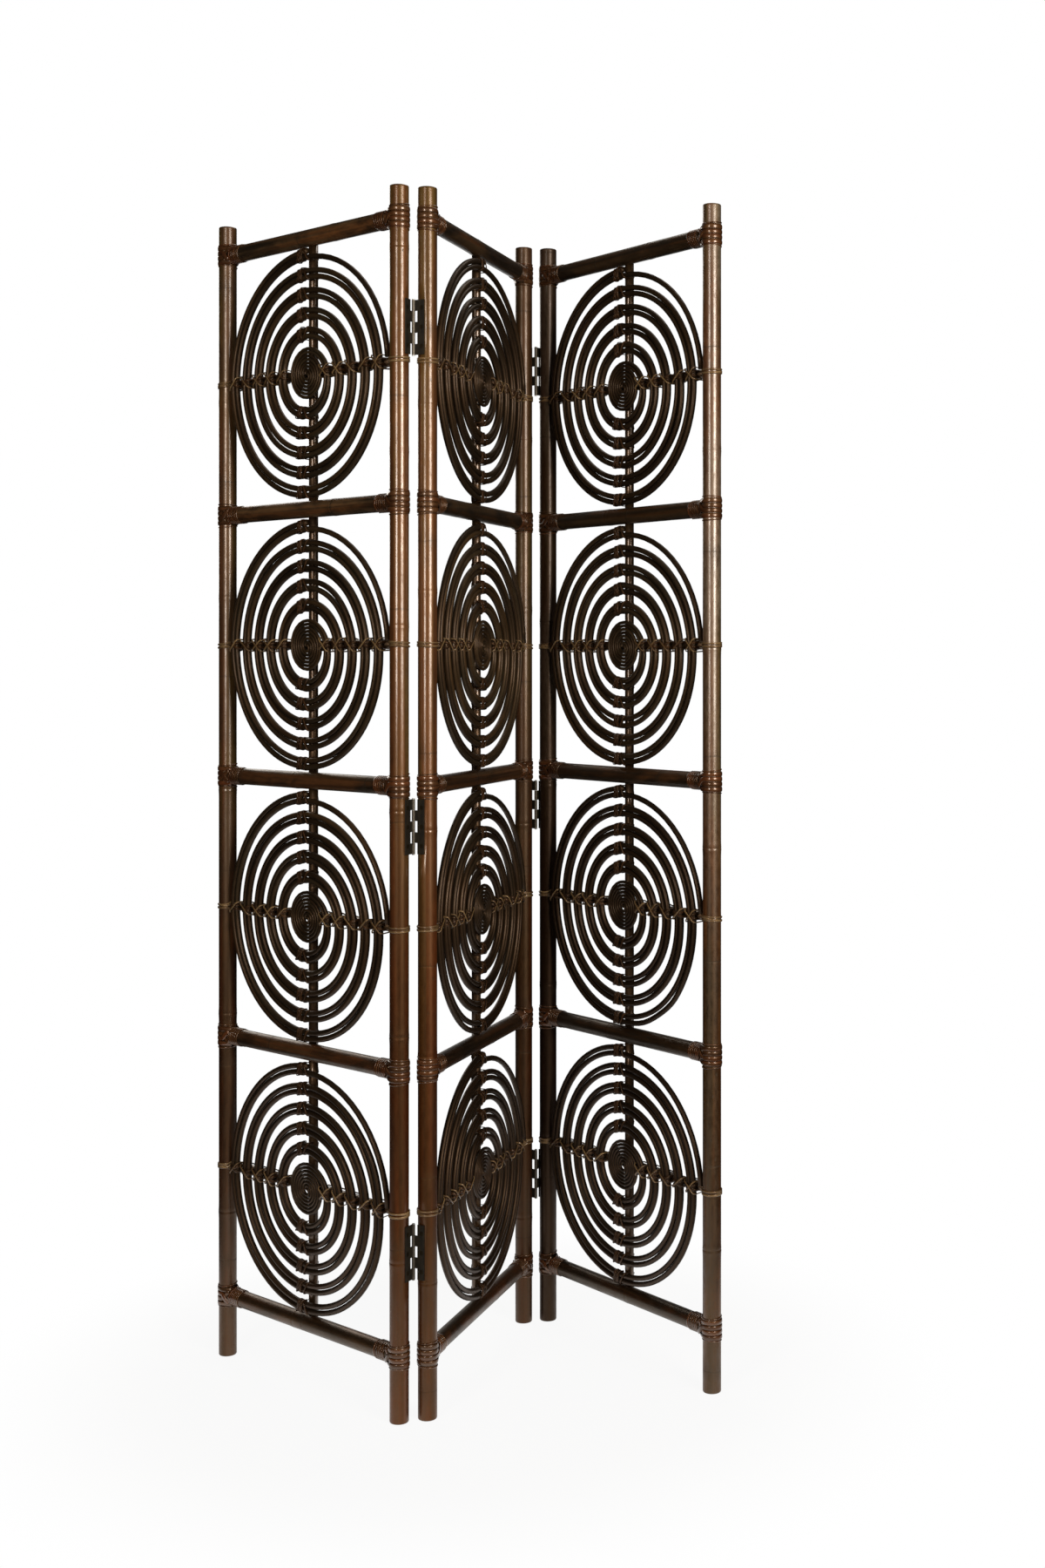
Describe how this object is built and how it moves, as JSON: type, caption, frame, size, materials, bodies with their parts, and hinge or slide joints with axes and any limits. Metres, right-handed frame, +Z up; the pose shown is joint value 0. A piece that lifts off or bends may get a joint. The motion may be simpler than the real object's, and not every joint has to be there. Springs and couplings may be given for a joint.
{
  "type": "folding room screen",
  "caption": "Folding room screen of dark cane: hinged ladder panels of poles and rails, each cell filled with a coiled cane medallion tied to crossed sticks.",
  "frame": {"origin": "on the floor under the middle of the screen's bounding box, as it stands in its zigzag", "axes": "+X to the viewer's right, +Y to the back, +Z up along the poles"},
  "size_m": [0.799, 0.45, 1.8],
  "materials": {
    "pole_cane": "dark-stained cane poles under glossy lacquer, golden to red brown",
    "rail_cane": "dark brown stained cane rails under satin lacquer",
    "coil_cane": "black-brown stained cane strands, satin",
    "stick_cane": "dark reddish brown cane sticks, glossy",
    "binding_peel": "wound rattan peel, stained red brown, glossy",
    "lashing_cord": "thin rattan peel cord, golden brown",
    "hinge_bronze": "dark bronzed steel leaves, satin",
    "hinge_pin_steel": "bright steel pin",
    "screw_bronze": "darkened slotted countersunk screws",
    "nail_steel": "plain wire nails, hidden under the windings"
  },
  "bodies": {
    "left_panel": {"left_outer_pole": "pole_cane", "left_hinge_pole": "pole_cane", "left_bottom_rail": "rail_cane", "left_lower_rail": "rail_cane", "left_centre_rail": "rail_cane", "left_upper_rail": "rail_cane", "left_top_rail": "rail_cane", "left_coil_1": "coil_cane", "left_coil_2": "coil_cane", "left_coil_3": "coil_cane", "left_coil_4": "coil_cane", "left_upright_sticks": "stick_cane", "left_cross_sticks": "stick_cane", "left_rail_bindings": "binding_peel", "left_lashings": "lashing_cord", "left_rail_nails": "nail_steel", "left_seam_left_leaves": "hinge_bronze", "left_seam_left_screws": "screw_bronze"},
    "middle_panel": {"middle_left_pole": "pole_cane", "middle_right_pole": "pole_cane", "middle_bottom_rail": "rail_cane", "middle_lower_rail": "rail_cane", "middle_centre_rail": "rail_cane", "middle_upper_rail": "rail_cane", "middle_top_rail": "rail_cane", "middle_coil_1": "coil_cane", "middle_coil_2": "coil_cane", "middle_coil_3": "coil_cane", "middle_coil_4": "coil_cane", "middle_upright_sticks": "stick_cane", "middle_cross_sticks": "stick_cane", "middle_rail_bindings": "binding_peel", "middle_lashings": "lashing_cord", "middle_rail_nails": "nail_steel", "left_seam_right_leaves": "hinge_bronze", "left_seam_pins": "hinge_pin_steel", "left_seam_right_screws": "screw_bronze", "right_seam_left_leaves": "hinge_bronze", "right_seam_pins": "hinge_pin_steel", "right_seam_left_screws": "screw_bronze"},
    "right_panel": {"right_hinge_pole": "pole_cane", "right_outer_pole": "pole_cane", "right_bottom_rail": "rail_cane", "right_lower_rail": "rail_cane", "right_centre_rail": "rail_cane", "right_upper_rail": "rail_cane", "right_top_rail": "rail_cane", "right_coil_1": "coil_cane", "right_coil_2": "coil_cane", "right_coil_3": "coil_cane", "right_coil_4": "coil_cane", "right_upright_sticks": "stick_cane", "right_cross_sticks": "stick_cane", "right_rail_bindings": "binding_peel", "right_lashings": "lashing_cord", "right_rail_nails": "nail_steel", "right_seam_right_leaves": "hinge_bronze", "right_seam_right_screws": "screw_bronze"}
  },
  "joints": [
    {"name": "left_seam_fold", "type": "hinge", "parent": "middle_panel", "child": "left_panel", "pos_m": [-0.05682, -0.20351, 0.9], "axis": [0, 0, 1], "range_deg": [-64, 74]},
    {"name": "right_seam_fold", "type": "hinge", "parent": "middle_panel", "child": "right_panel", "pos_m": [0.10114, 0.20651, 0.9], "axis": [0, 0, 1], "range_deg": [-55.5, 82.5]}
  ]
}
